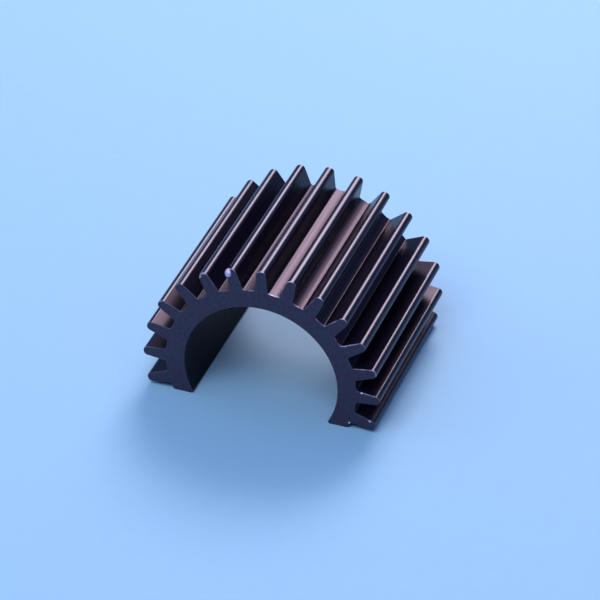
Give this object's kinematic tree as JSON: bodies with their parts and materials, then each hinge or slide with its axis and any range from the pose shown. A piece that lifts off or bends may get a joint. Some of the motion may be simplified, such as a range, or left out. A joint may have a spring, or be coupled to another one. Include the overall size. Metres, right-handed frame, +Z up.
{
  "type": "motor heat sink",
  "caption": "C-shaped black anodised aluminium extrusion with straight radial fins, pushed over a small electric motor's can to carry its heat away.",
  "frame": {"origin": "centre of the motor bore, on its axis at mid-length", "axes": "+Y along the bore axis, +Z up from the open side towards the middle fin, +X to the right when seen along +Y"},
  "size_m": [0.0432, 0.035, 0.0285],
  "materials": {
    "black_anodised": "black anodised, satin, worn bare at a few corners"
  },
  "bodies": {
    "root": {"heat_sink": "black_anodised"}
  },
  "joints": []
}
